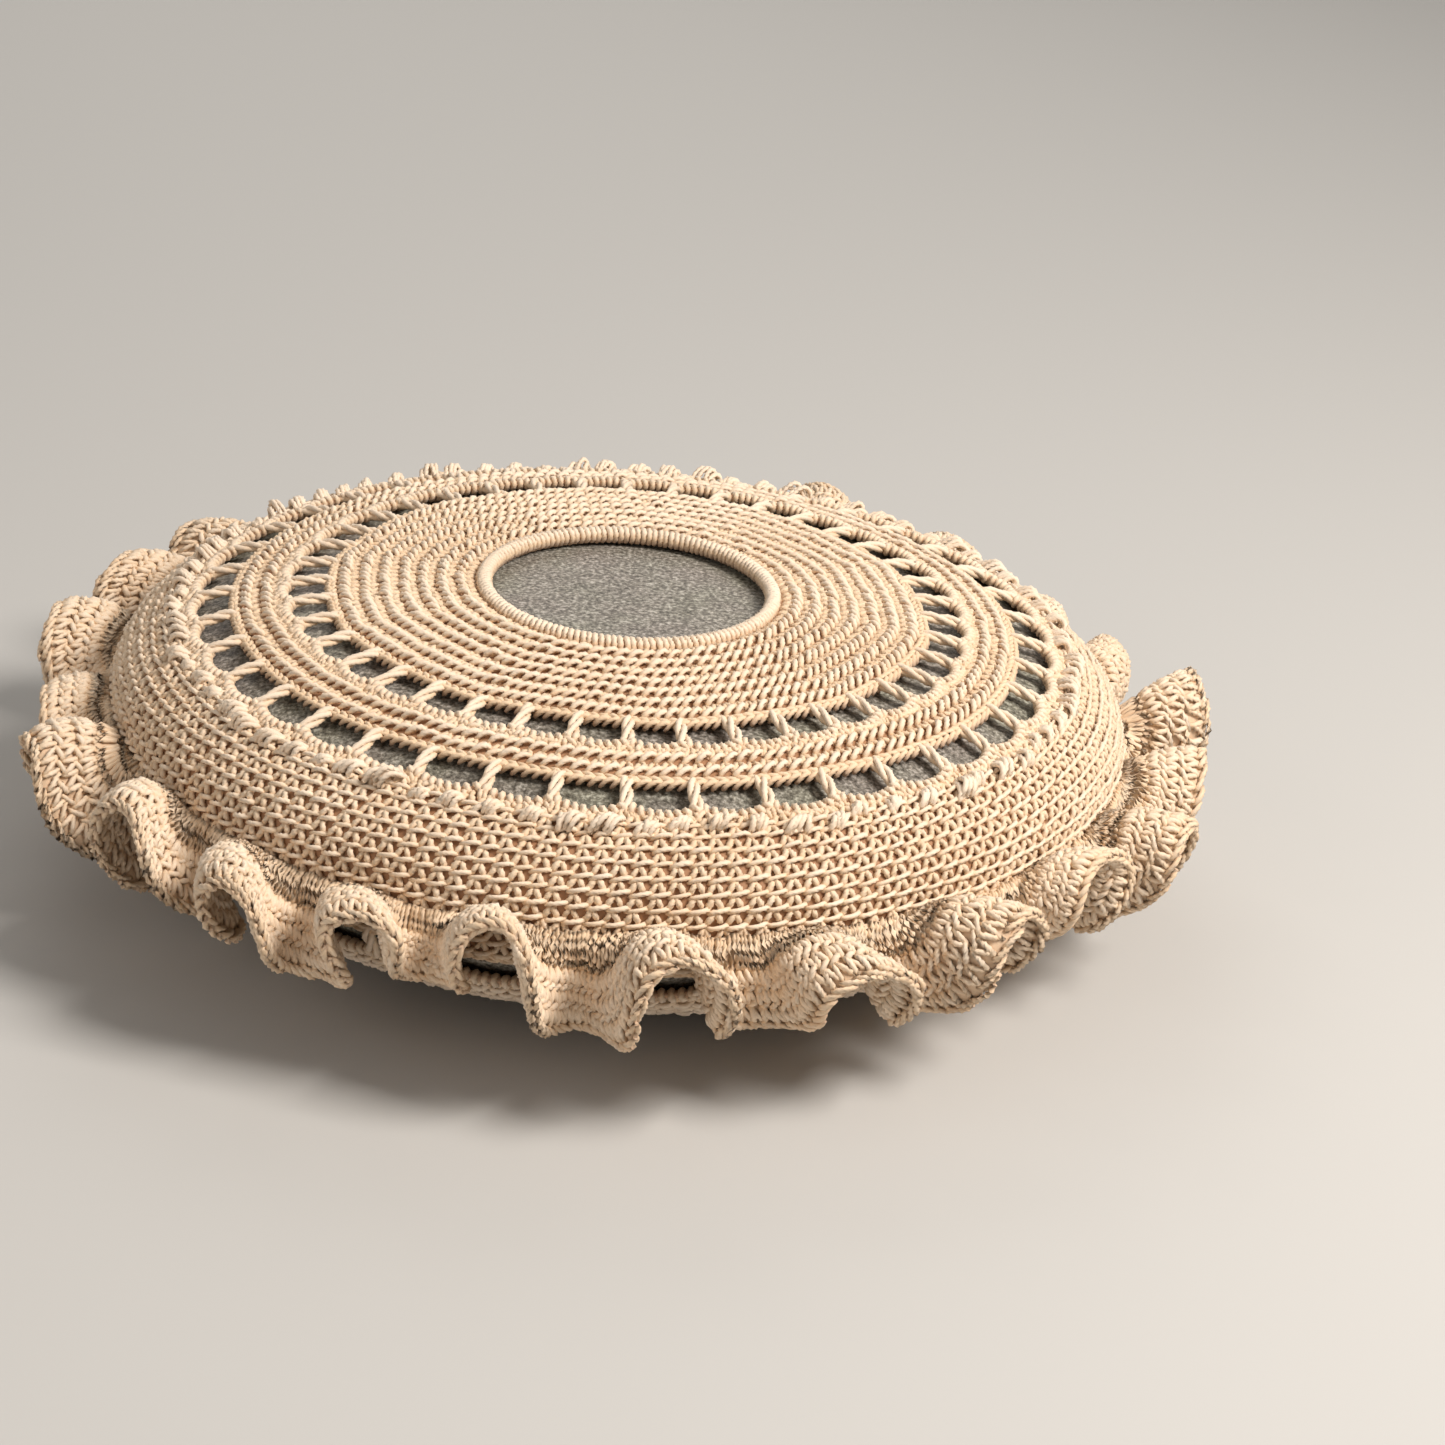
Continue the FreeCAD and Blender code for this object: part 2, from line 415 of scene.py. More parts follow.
def noise(nodes, links, coordinates, scale, detail=3.0, roughness=0.55):
    """A noise texture's value; scale is in waves to the metre."""
    texture = nodes.new("ShaderNodeTexNoise")
    texture.inputs["Scale"].default_value = scale
    texture.inputs["Detail"].default_value = detail
    texture.inputs["Roughness"].default_value = roughness
    links.new(coordinates, texture.inputs["Vector"])
    return texture.outputs["Fac"]


def ramp(nodes, links, value, stops):
    """A colour ramp with stops of (place, colour)."""
    node = nodes.new("ShaderNodeValToRGB")
    elements = node.color_ramp.elements
    while len(elements) < len(stops):
        elements.new(0.5)
    for element, (at, colour) in zip(elements, stops):
        element.position = at
        element.color = (*colour, 1)
    links.new(value, node.inputs["Fac"])
    return node.outputs["Color"]


def relief(nodes, links, shader, value, strength, distance):
    """Grain in the shading that is finer than the mesh."""
    bump = nodes.new("ShaderNodeBump")
    bump.inputs["Strength"].default_value = strength
    bump.inputs["Distance"].default_value = distance
    links.new(value, bump.inputs["Height"])
    links.new(bump.outputs["Normal"], shader.inputs["Normal"])


def new_material(name, roughness):
    """A material and its shader."""
    material = bpy.data.materials.new(name)
    material.use_nodes = True
    shader = material.node_tree.nodes["Principled BSDF"]
    shader.inputs["Roughness"].default_value = roughness
    return material, shader


def cotton_material(name, light, painted_shade):
    """Mercerised ecru cotton, paler on top of the strands and browner down between them as painted
    shade.
    """
    material, shader = new_material(name, 0.62)
    nodes = material.node_tree.nodes
    links = material.node_tree.links
    coordinates = nodes.new("ShaderNodeTexCoord").outputs["Object"]
    height = nodes.new("ShaderNodeAttribute")
    height.attribute_name = "height"
    middle = tuple(0.45 * a + 0.55 * b for a, b in zip(light, painted_shade))
    warmer = tuple(a * b for a, b in zip(light, (0.93, 0.84, 0.72)))
    # Painted shade, from the deepest gaps up to the ridges
    stops = [(0.05, painted_shade), (0.40, middle), (0.66, warmer), (0.92, light)]
    tone = ramp(nodes, links, height.outputs["Fac"], stops)
    patches = noise(nodes, links, coordinates, scale=55.0, detail=2.0)
    aged = ramp(nodes, links, patches, [(0.35, (0.90, 0.85, 0.79)), (0.7, WHITE)])
    tone = multiplied(nodes, links, 0.55, tone, aged)
    fibres = noise(nodes, links, coordinates, scale=4200.0, detail=4.0, roughness=0.7)
    streaks = ramp(nodes, links, fibres, [(0.3, (0.84, 0.79, 0.73)), (0.68, WHITE)])
    tone = multiplied(nodes, links, 0.5, tone, streaks)
    links.new(tone, shader.inputs["Base Color"])
    relief(nodes, links, shader, fibres, strength=0.55, distance=0.12 * MM)
    shader.inputs["Sheen Weight"].default_value = 0.12
    shader.inputs["Sheen Roughness"].default_value = 0.45
    shader.inputs["Sheen Tint"].default_value = (1.0, 0.93, 0.82, 1.0)
    shader.inputs["Specular IOR Level"].default_value = 0.35
    return material


def stone_material():
    """Fine-grained grey stone with dark and pale grains and faint green and purple patches."""
    material, shader = new_material("speckled_stone", 0.58)
    nodes = material.node_tree.nodes
    links = material.node_tree.links
    coordinates = nodes.new("ShaderNodeTexCoord").outputs["Object"]
    grains = noise(nodes, links, coordinates, scale=1500.0, detail=3.0, roughness=0.65)
    greys = [
        (0.33, (0.055, 0.047, 0.036)),
        (0.47, (0.17, 0.155, 0.128)),
        (0.55, (0.27, 0.25, 0.212)),
        (0.68, (0.52, 0.495, 0.44)),
    ]
    speckle = ramp(nodes, links, grains, greys)
    crystals = nodes.new("ShaderNodeTexVoronoi")
    crystals.inputs["Scale"].default_value = 900.0
    links.new(coordinates, crystals.inputs["Vector"])
    glints = [(0.08, (1.25, 1.23, 1.18)), (0.3, WHITE)]
    flecks = ramp(nodes, links, crystals.outputs["Distance"], glints)
    tone = multiplied(nodes, links, 0.8, speckle, flecks)
    patches = noise(nodes, links, coordinates, scale=75.0, detail=2.0)
    tints = [(0.36, (0.97, 1.0, 0.90)), (0.5, (1.0, 0.99, 0.96)), (0.66, (1.02, 0.96, 0.97))]
    tone = multiplied(nodes, links, 0.8, tone, ramp(nodes, links, patches, tints))
    links.new(tone, shader.inputs["Base Color"])
    relief(nodes, links, shader, grains, strength=0.35, distance=0.2 * MM)
    return material


# ---------------------------------------------------------------- camera, light and floor

# Angles in radians, distance in metres, lens and sensor in millimetres
CAMERA_PITCH = math.radians(24.2)
CAMERA_ROLL = 0.067
CAMERA_DISTANCE = 0.587
CAMERA_LENS = 92.6
SENSOR = 36.0
# Where the body's centre stands in the picture, from its middle, as a share of the picture's width
PICTURE_SIDE = -0.071
PICTURE_UP = 0.010

# Each lamp's name, place and size in metres, power in watts and colour
LAMPS = [
    ("key", (0.46, -0.24, 0.60), 0.28, 7.2, (1.0, 0.95, 0.90)),
    ("fill", (-0.7, -0.5, 0.40), 0.7, 1.7, (1.0, 0.94, 0.89)),
    ("back", (-0.1, 0.7, 0.5), 0.5, 1.5, (1.0, 0.97, 0.93)),
]
WORLD_COLOUR = (0.95, 0.93, 0.90, 1)
WORLD_STRENGTH = 0.27
FLOOR_HALF = 3.0
FLOOR_COLOUR = (0.54, 0.525, 0.50, 1)


def make_camera():
    """The camera looks along +Y and down, leaning a little, with the body left of the middle."""
    centre = Vector((0, 0, EQUATOR_HEIGHT))
    lean = Matrix.Rotation(-CAMERA_ROLL, 3, "Y")
    forward = lean @ Vector((0, math.cos(CAMERA_PITCH), -math.sin(CAMERA_PITCH)))
    right = lean @ Vector((1, 0, 0))
    up = right.cross(forward)
    width = CAMERA_DISTANCE * SENSOR / CAMERA_LENS
    eye = centre - forward * CAMERA_DISTANCE
    aim = centre - right * (PICTURE_SIDE * width) - up * (PICTURE_UP * width)
    back = (eye - aim).normalized()
    side = up.cross(back).normalized()
    data = bpy.data.cameras.new("camera")
    data.lens = CAMERA_LENS
    data.sensor_width = SENSOR
    camera = bpy.data.objects.new("camera", data)
    turn = Matrix((side, back.cross(side), back)).transposed()
    camera.matrix_world = Matrix.Translation(eye) @ turn.to_4x4()
    bpy.context.scene.collection.objects.link(camera)
    bpy.context.scene.camera = camera


def make_lamp(name, place_at, size, power, colour):
    """A square lamp that faces the middle of the body."""
    data = bpy.data.lights.new(name, "AREA")
    data.size = size
    data.energy = power
    data.color = colour
    lamp = bpy.data.objects.new(name, data)
    lamp.location = place_at
    aim = Vector((0, 0, EQUATOR_HEIGHT)) - Vector(place_at)
    lamp.rotation_euler = aim.to_track_quat("-Z", "Y").to_euler()
    bpy.context.scene.collection.objects.link(lamp)


def make_studio():
    """A pale floor, a warm soft key light from the right, and weak ones from the left and behind."""
    for name, place_at, size, power, colour in LAMPS:
        make_lamp(name, place_at, size, power, colour)
    world = bpy.data.worlds.new("studio")
    bpy.context.scene.world = world
    world.use_nodes = True
    sky = world.node_tree.nodes["Background"]
    sky.inputs["Color"].default_value = WORLD_COLOUR
    sky.inputs["Strength"].default_value = WORLD_STRENGTH
    mesh = bpy.data.meshes.new("floor")
    signs = ((-1, -1), (1, -1), (1, 1), (-1, 1))
    mesh.from_pydata([(x * FLOOR_HALF, y * FLOOR_HALF, 0) for x, y in signs], [], [(0, 1, 2, 3)])
    floor = bpy.data.objects.new("floor", mesh)
    bpy.context.scene.collection.objects.link(floor)
    material, shader = new_material("pale_floor", 0.8)
    shader.inputs["Base Color"].default_value = FLOOR_COLOUR
    mesh.materials.append(material)


# ---------------------------------------------------------------- stitches

# Each motif is a strand through one stitch: place along the round in stitches, place across the
# round as a share of its width, and lift above the backing in millimetres.
FRONT_LOOP = [
    (-0.16, 0.92, 0.20),
    (0.08, 0.84, 0.95),
    (0.45, 0.66, 1.30),
    (0.85, 0.46, 1.10),
    (1.12, 0.36, 0.30),
]
LEFT_LEG = [(0.52, -0.16, 0.05), (0.42, 0.06, 0.55), (0.24, 0.32, 0.72), (0.06, 0.60, 0.35)]
RIGHT_LEG = [(0.62, -0.16, 0.05), (0.70, 0.06, 0.58), (0.86, 0.30, 0.75), (1.02, 0.52, 0.35)]
SIDE_LOOP = [
    (-0.12, 1.04, 0.10),
    (0.10, 0.96, 0.85),
    (0.50, 0.85, 1.15),
    (0.88, 0.74, 1.00),
    (1.08, 0.68, 0.25),
]
SIDE_LEFT = [(0.34, -0.06, 0.10), (0.24, 0.16, 0.70), (0.10, 0.44, 0.82), (-0.06, 0.80, 0.30)]
SIDE_RIGHT = [(0.36, -0.06, 0.10), (0.44, 0.16, 0.70), (0.56, 0.42, 0.86), (0.66, 0.76, 0.35)]
BRAID_LIFT = 0.25
BRAID_INNER = [
    (-0.45, -0.05, BRAID_LIFT - 0.7),
    (0.0, 0.06, BRAID_LIFT + 0.2),
    (0.7, 0.36, BRAID_LIFT + 0.5),
    (1.3, 0.60, BRAID_LIFT - 0.2),
]
BRAID_OUTER = [
    (-0.45, 1.10, BRAID_LIFT - 0.7),
    (0.0, 0.98, BRAID_LIFT + 0.15),
    (0.7, 0.68, BRAID_LIFT + 0.45),
    (1.3, 0.44, BRAID_LIFT - 0.2),
]
# A bobble's strand is in millimetres: aside, along the outline and up
BOBBLE_STRAND = [
    (0.75, -1.25, 0.1),
    (0.55, -0.65, 1.2),
    (0.1, 0.1, 2.0),
    (-0.35, 0.85, 1.7),
    (-0.7, 1.35, 0.3),
]
RUFFLE_LEFT = [(0.0, -0.04, 0.35), (0.10, 0.25, 0.50), (0.08, 0.75, 0.55), (0.0, 1.10, 0.25)]
RUFFLE_RIGHT = [(0.50, -0.04, 0.35), (0.56, 0.25, 0.55), (0.60, 0.75, 0.50), (0.52, 1.10, 0.25)]
RUFFLE_LOOP = [(-0.20, 0.98, 0.10), (0.15, 0.86, 0.72), (0.70, 0.66, 0.78), (1.15, 0.52, 0.15)]
RUFFLE_INNER = [(0.50, -0.25, 0.10), (0.40, 0.12, 0.66), (0.20, 0.48, 0.70), (0.02, 0.86, 0.15)]
RUFFLE_OUTER = [(0.58, -0.25, 0.10), (0.70, 0.12, 0.66), (0.86, 0.42, 0.72), (1.02, 0.74, 0.15)]
RUFFLE_RIM = [(-0.40, 0.76, 0.30), (0.10, 0.90, 0.62), (0.75, 1.04, 0.50), (1.35, 1.10, 0.0)]

# How far hand-made stitches stray: along and across a round as shares of a stitch, and in lift
STRAY_ALONG = 0.04
STRAY_ACROSS = 0.035
STRAY_LIFT = 0.09
STRAY_THICKNESS = 0.06
RUFFLE_STRAY_ALONG = 0.07
RUFFLE_STRAY_ACROSS = 0.05
RUFFLE_STRAY_LIFT = 0.10
# Each row of a round of two rows starts this share of a stitch further on
ROW_SHIFT = 0.3
STITCH_POINTS = 7
RUFFLE_STITCH_POINTS = 6
# Lifts in millimetres that take the darkest painted shade and the palest colour
DEEPEST = -1.1
HIGHEST = 1.5


def shade_tone_of(lift):
    """The colour attribute for a lift in millimetres, which paints shade: 0 in the deepest gaps and
    1 on the ridges.
    """
    return (lift - DEEPEST) / (HIGHEST - DEEPEST)


def lay(yarn, motif, count, start, width, shift, radius, loose=1.0):
    """One strand of the motif in every stitch of a round; loose scales how far stitches stray."""
    curve = smooth(motif, STITCH_POINTS)
    along = random.normal(0, STRAY_ALONG, (count, 1)) * loose
    across = random.normal(0, STRAY_ACROSS, (count, 1)) * loose
    raised = 1 + random.normal(0, STRAY_LIFT, (count, 1)) * loose
    index = np.arange(count)[:, None] + shift
    theta = (index + along + curve[None, :, 0]) * 2 * math.pi / count
    length = start + (curve[None, :, 1] + across) * width
    lift = curve[None, :, 2] * raised
    paths = place(theta, np.broadcast_to(length, theta.shape), lift * MM)
    yarn.strands(paths, shade_tone_of(lift), radius * (1 + random.normal(0, STRAY_THICKNESS, count)))


def top_row(yarn, start, width, count, shift):
    """A ridged row: slanting front loops over two legs."""
    lay(yarn, FRONT_LOOP, count, start, width, shift, 0.45 * MM)
    lay(yarn, LEFT_LEG, count, start, width, shift, 0.42 * MM)
    lay(yarn, RIGHT_LEG, count, start, width, shift, 0.42 * MM)


def side_row(yarn, start, width, count, shift):
    """A flat row: long strands end to end, with two short legs and small holes between them."""
    lay(yarn, SIDE_LOOP, count, start, width, shift, 0.39 * MM)
    lay(yarn, SIDE_LEFT, count, start, width, shift, 0.46 * MM)
    lay(yarn, SIDE_RIGHT, count, start, width, shift, 0.46 * MM)


def round_piece(name, node, row, start, width, count, shift, rows=1):
    """One or more rows of stitches as the piece that stands for a CAD round."""
    yarn = Yarn()
    for index in range(rows):
        row(yarn, start + index * width / rows, width / rows, count, shift + ROW_SHIFT * index)
    piece(name, yarn, cotton, [node])


def rounds(name, row, start, width, counts, drift, rows=1):
    """A run of rounds with one count of stitches each; returns where the last one ends."""
    for number, count in enumerate(counts):
        stitches = f"{name}_stitches_{number + 1}"
        node = f"{name}_round_{number + 1}"
        round_piece(stitches, node, row, start, width, count, drift * number, rows)
        start += width
    return start


STRAY_WRAP = 0.05
WRAP_RADIUS = YARN_RADIUS * 1.1


def wrap_rings(yarn, theta, length, slope, half_width, half_height, raised, lean, points=12):
    """Closed loops of yarn round a carrier that runs along the fabric.

    theta and length place each loop's middle, and slope is how fast the carrier climbs outwards.
    raised is the lift of its middle, and lean is how far its far side goes ahead.
    """
    turn = np.linspace(0, 2 * math.pi, points, endpoint=False)[None, :]
    size = np.sqrt(1 + slope**2)
    out = np.cos(turn) * half_width * (1 + random.normal(0, STRAY_WRAP, (len(theta), 1)))
    radius = np.interp(length, lengths, radii)[:, None]
    lift = raised + half_height * np.sin(turn) + 0 * out
    forward = lean * np.cos(turn) + random.normal(0, STRAY_WRAP, (len(theta), 1)) * MM
    side = (forward - out * slope[:, None]) / size[:, None]
    along = (out + forward * slope[:, None]) / size[:, None]
    paths = place(theta[:, None] + side / radius, length[:, None] + along, lift)
    yarn.strands(paths, shade_tone_of(lift / MM), WRAP_RADIUS, closed=True)


CARRIER_SIDES = 8
# The carrier's colour attribute: low, for painted shade inside the wraps
CARRIER_SHADE_TONE = 0.25


def carrier(yarn, theta, length, radius, raised):
    """The thick cord inside the wraps, a closed tube along the fabric."""
    turn = np.linspace(0, 2 * math.pi, CARRIER_SIDES, endpoint=False)[None, :]
    grid = place(
        theta[:, None] + 0 * turn,
        length[:, None] + radius * np.cos(turn),
        raised + radius * np.sin(turn) + 0 * theta[:, None],
    )
    index = np.arange(grid.shape[0] * CARRIER_SIDES).reshape(-1, CARRIER_SIDES)
    yarn.add(grid, CARRIER_SHADE_TONE, band_quads(index), NO_TRIANGLES)


# The window ring's wraps: half width, half height, lift and lean, then their number and points
WINDOW_WRAP = (0.86 * MM, 1.0 * MM, 0.55 * MM, 0.25 * MM)
WINDOW_WRAPS = 150
WINDOW_WRAP_POINTS = 14
WINDOW_STEPS = 120
WINDOW_MIDDLE = 0.42


def window_ring(start, width):
    """Close wraps round the padded edge of the window."""
    middle = start + width * WINDOW_MIDDLE
    theta = np.arange(WINDOW_WRAPS) * 2 * math.pi / WINDOW_WRAPS
    yarn = Yarn()
    wrap_rings(yarn, theta, middle + 0 * theta, 0 * theta, *WINDOW_WRAP, WINDOW_WRAP_POINTS)
    ring = np.linspace(0, 2 * math.pi, WINDOW_STEPS, endpoint=False)
    carrier(yarn, ring, middle + 0 * ring, 0.8 * MM, 0.55 * MM)
    piece("window_ring_wraps", yarn, cotton, ["window_ring"])


BRAID_RADIUS = 0.40 * MM
BRAID_LOOSE = 0.5


def braid(yarn, count, start, width):
    """A braided chain edge: two slanting strokes to a link, like a fishbone."""
    lay(yarn, BRAID_INNER, count, start, width, 0.0, BRAID_RADIUS, BRAID_LOOSE)
    lay(yarn, BRAID_OUTER, count, start, width, 0.0, BRAID_RADIUS, BRAID_LOOSE)


POST_STRANDS = 3
POST_POINTS = 16
POST_RADIUS = YARN_RADIUS * 1.12
# How far a post's strands turn about each other, in radians
POST_TURN = 5.0
# A post begins this far inside its hole's edge and is this much longer than the hole
POST_TUCK = 1.5 * MM
POST_EXTRA = 2.3 * MM
# Millimetres: how far strands stand aside, their lift, how it rolls and how the ends dip
POST_ASIDE = 0.60
POST_LIFT = 0.75
POST_ROLL = 0.48
POST_DIP = 0.9


def lace_posts(name, hole_start, post_length, holes, across):
    """Posts of three strands twisted about each other, spread into a fork at both ends."""
    yarn = Yarn()
    step = 2 * math.pi / holes
    centre = np.arange(holes)[:, None] * step + random.normal(0, 0.12, (holes, 1)) * across
    begin = random.uniform(0, 2 * math.pi, (holes, 1))
    t = np.linspace(0, 1, POST_POINTS)[None, :]
    outer_fork = 1.5 * np.clip((t - 0.72) / 0.28, 0, 1) ** 1.5
    inner_fork = 1.1 * np.clip((0.2 - t) / 0.2, 0, 1) ** 1.5
    flare = 1 + outer_fork + inner_fork
    for strand in range(POST_STRANDS):
        turn = begin + strand * 2 * math.pi / POST_STRANDS + POST_TURN * t
        aside = POST_ASIDE * np.cos(turn) * flare
        lift = POST_LIFT + POST_ROLL * np.sin(turn) - POST_DIP * np.abs(2 * t - 1) ** 4
        length = hole_start - POST_TUCK + t * (post_length + POST_EXTRA)
        paths = place(centre + aside * across, np.broadcast_to(length, aside.shape), lift * MM)
        # The posts take the painted shade of strands 0.3 mm higher than they lie, so they stay paler
        yarn.strands(paths, shade_tone_of(lift + 0.3), POST_RADIUS)
    piece(f"{name}_post_strands", yarn, cotton, [f"{name}_posts"])


# The arc's wraps: half width, half height, lift and lean
ARC_WRAP = (0.58 * MM, 0.66 * MM, 0.52 * MM, 0.22 * MM)
ARC_OUTSIDE = 0.85 * MM
ARC_CURVE = 0.6
ARC_STEPS = 12
STEEPEST_ARC = 1.3
FAN_STRANDS = 12
FAN_POINTS = 7


def lace_round(name, start, chain_width, post_length, holes, links, wraps, bow):
    """A lace round: braided edge, twisted posts and a wrapped arc round the outside of each hole.

    links and wraps are counted to a hole, and bow is how far each arc bends outwards.
    """
    edge = Yarn()
    braid(edge, holes * links, start, chain_width)
    piece(f"{name}_inner_braid", edge, cotton, [f"{name}_inner_chain"])

    hole_start = start + chain_width
    hole_end = hole_start + post_length
    end = hole_end + chain_width
    radius = float(np.interp(hole_end, lengths, radii))
    across = MM / radius
    lace_posts(name, hole_start, post_length, holes, across)

    step = 2 * math.pi / holes

    def arc(where):
        """Length along the outline of the arc's middle line, where is in holes."""
        inside = np.mod(where, 1.0)
        return hole_end + ARC_OUTSIDE - bow + bow * np.sin(math.pi * inside) ** ARC_CURVE

    yarn = Yarn()
    total = holes * wraps
    where = np.arange(total) // wraps + (np.arange(total) % wraps + 0.5) / wraps
    slope = (arc(where + 0.02) - arc(where - 0.02)) / (0.04 * step * radius)
    slope = np.clip(slope, -STEEPEST_ARC, STEEPEST_ARC)
    wrap_rings(yarn, where * step, arc(where), slope, *ARC_WRAP)
    ring = np.linspace(0, holes, holes * ARC_STEPS, endpoint=False)
    carrier(yarn, ring * step, arc(ring), 0.5 * MM, 0.46 * MM)
    piece(f"{name}_wrapped_arcs", yarn, cotton, [f"{name}_outer_chain"])

    fans = Yarn()
    total = holes * FAN_STRANDS
    where = np.arange(total) / FAN_STRANDS + random.normal(0, 0.012, total)
    t = np.linspace(0, 1, FAN_POINTS)[None, :]
    begin = arc(where)[:, None] + 0.4 * MM
    finish = end + 0.5 * MM
    sway = (random.normal(0, 0.5, (total, 1)) + 0.25) * across
    theta = where[:, None] * step + sway * (t - 0.5) * 2
    lift = 0.1 + 0.75 * np.sin(math.pi * t) ** 0.6 + random.normal(0, 0.12, (total, 1))
    paths = place(theta, begin + (finish - begin) * t, lift * MM)
    fans.strands(paths, shade_tone_of(lift), 0.42 * MM)
    piece(f"{name}_fan_strands", fans, cotton, [])
    scallop(f"{name}_fabric", arc, end + 0.6 * MM, holes)


def scallop(name, arc, end, holes):
    """The cloth between a lace round's arcs and the next round, with a scalloped inner edge."""

    def surface(theta, share, lift):
        begin = arc(theta * holes / (2 * math.pi)) + 0.3 * MM
        return place(theta, begin + (end - begin) * share, lift)

    width = end - float(arc(np.array(0.5)))
    fabric(name, surface, 0.0, 1.0, holes * ARC_STEPS, width / 2, width)


TUFT_STRANDS = 4
TUFT_SPACING = 0.58
TUFT_POINTS = 9
TUFT_RADIUS = 0.46 * MM
SMALLEST_TUFT = 0.6
LARGEST_TUFT = 1.45


def bobble_round(start, length):
    """Two low rows with a raised tuft of slanting strands at every bobble.

    The tufts differ in place (wide and drop), size (grow), slant (lean) and lift (rise).
    """
    yarn = Yarn()
    count = BOBBLES * 2 + 4
    for row in range(2):
        side_row(yarn, start + row * length / 2, length / 2, count, 0.4 * row)
    radius = float(np.interp(start, lengths, radii))
    wide = random.normal(0, 0.10, (BOBBLES, 1))
    centre = (np.arange(BOBBLES)[:, None] + 0.5 + wide) * 2 * math.pi / BOBBLES
    drop = 0.5 + random.normal(0, 0.45, (BOBBLES, 1))
    grow = np.clip(1.08 + random.normal(0, 0.2, (BOBBLES, 1)), SMALLEST_TUFT, LARGEST_TUFT)
    curve = smooth(BOBBLE_STRAND, TUFT_POINTS)
    for strand in range(TUFT_STRANDS):
        off_middle = strand - (TUFT_STRANDS - 1) / 2
        aside = off_middle * TUFT_SPACING
        lean = random.normal(0, 0.22, (BOBBLES, 1)) * curve[None, :, 1]
        theta = centre + (curve[None, :, 0] + lean + aside) * grow * MM / radius
        along = start + (curve[None, :, 1] * grow + 0.9 + drop + 0.25 * abs(off_middle)) * MM
        rise = 1 - 0.14 * abs(off_middle) + random.normal(0, 0.10, (BOBBLES, 1))
        lift = 0.3 + curve[None, :, 2] * grow * rise
        paths = place(theta, along, lift * MM)
        yarn.strands(paths, shade_tone_of(lift), TUFT_RADIUS)
    piece("bobble_tufts", yarn, cotton, ["bobble_round"])


# ---------------------------------------------------------------- ruffle

# How far the strip swings up and down and how far it droops, in degrees
RUFFLE_SWING = 58
RUFFLE_DROOP = 40
# How far the rim leans to one side, as a share of the width, and how far lobes bulge sideways
RUFFLE_LEAN = 0.34
RUFFLE_OVERHANG = 1.9 * MM
# The colour attribute of the ruffle's stitches, and how it rises with their lift in millimetres, so
# that lower strands take painted shade
RUFFLE_SHADE_TONE = 0.46
RUFFLE_SHADE_TONE_RISE = 0.5
CURL_STEPS = 6


def ruffle_middle(theta, share):
    """Points on the ruffle's middle surface: angle round it and share of its width.

    Slow waves of the angle vary the lobes' spacing, size, swing and lean, as in handwork.
    """
    phase = RUFFLE_LOBES * theta + 0.4 * np.sin(3 * theta + 0.5) + 0.24 * np.sin(7 * theta + 2.0)
    phase = phase + 0.13 * np.sin(13 * theta + 0.4)
    size = 1 + 0.13 * np.sin(5 * theta + 2.2) + 0.13 * np.sin(11 * theta + 0.7)
    swing = np.radians(RUFFLE_SWING + 13 * np.sin(7 * theta + 1.0)) * np.sin(phase)
    droop = np.radians(RUFFLE_DROOP + 6 * np.sin(4 * theta))
    # The strip arches: it leaves the body rising at the crests and hangs at its rim
    out = RUFFLE_ROOT
    height = ROOT_HEIGHT
    for step in range(CURL_STEPS):
        way = share * (step + 0.5) / CURL_STEPS
        tilt = swing * (1 - 0.30 * way) - droop * (0.40 + 1.0 * way)
        reach = share * RUFFLE_WIDTH * size / CURL_STEPS
        out = out + reach * np.cos(tilt)
        height = height + reach * np.sin(tilt)
    overhang = RUFFLE_OVERHANG * (1 + 0.3 * np.sin(9 * theta + 1.4))
    lean = RUFFLE_LEAN * (1 + 0.5 * np.sin(5 * theta + 0.6)) * RUFFLE_WIDTH * share
    sideways = (lean - overhang * np.sin(2 * phase)) * share
    angle = theta + sideways / RUFFLE_ROOT
    return np.stack([out * np.cos(angle), out * np.sin(angle), height], axis=-1)


def ruffle_place(theta, share, lift):
    """Points on the ruffle, lifted square to its middle surface."""
    theta, share = np.broadcast_arrays(theta, share)
    turn = 0.002
    nudge = 0.02
    middle = ruffle_middle(theta, share)
    along = ruffle_middle(theta + turn, share) - ruffle_middle(theta - turn, share)
    outward = ruffle_middle(theta, share + nudge) - ruffle_middle(theta, share - nudge)
    square = unit(np.cross(outward, along))
    return middle + square * np.broadcast_to(lift, theta.shape)[..., None]


def ruffle_lay(yarn, motif, count, start, width, shift, side, radius):
    """One strand of the motif in every stitch of a ruffle round, on its upper or lower side."""
    curve = smooth(motif, RUFFLE_STITCH_POINTS)
    index = np.arange(count)[:, None] + shift + random.normal(0, RUFFLE_STRAY_ALONG, (count, 1))
    theta = (index + curve[None, :, 0]) * 2 * math.pi / count
    across = random.normal(0, RUFFLE_STRAY_ACROSS, (count, 1))
    share = start + (curve[None, :, 1] + across) * width
    lift = curve[None, :, 2] * (1 + random.normal(0, RUFFLE_STRAY_LIFT, (count, 1)))
    paths = ruffle_place(theta, share + 0 * theta, side * lift * MM)
    thickness = radius * (1 + random.normal(0, STRAY_THICKNESS, count))
    yarn.strands(paths, RUFFLE_SHADE_TONE + RUFFLE_SHADE_TONE_RISE * lift, thickness)


def ruffle_stitches(name, node, motifs, count, start, width, shift, radius):
    """One round of the ruffle, stitched alike on its upper and its lower side."""
    for side, face in ((1, "upper"), (-1, "lower")):
        yarn = Yarn()
        for motif in motifs:
            ruffle_lay(yarn, motif, count, start, width, shift, side, radius)
        piece(f"{name}_{face}", yarn, cotton, [node])


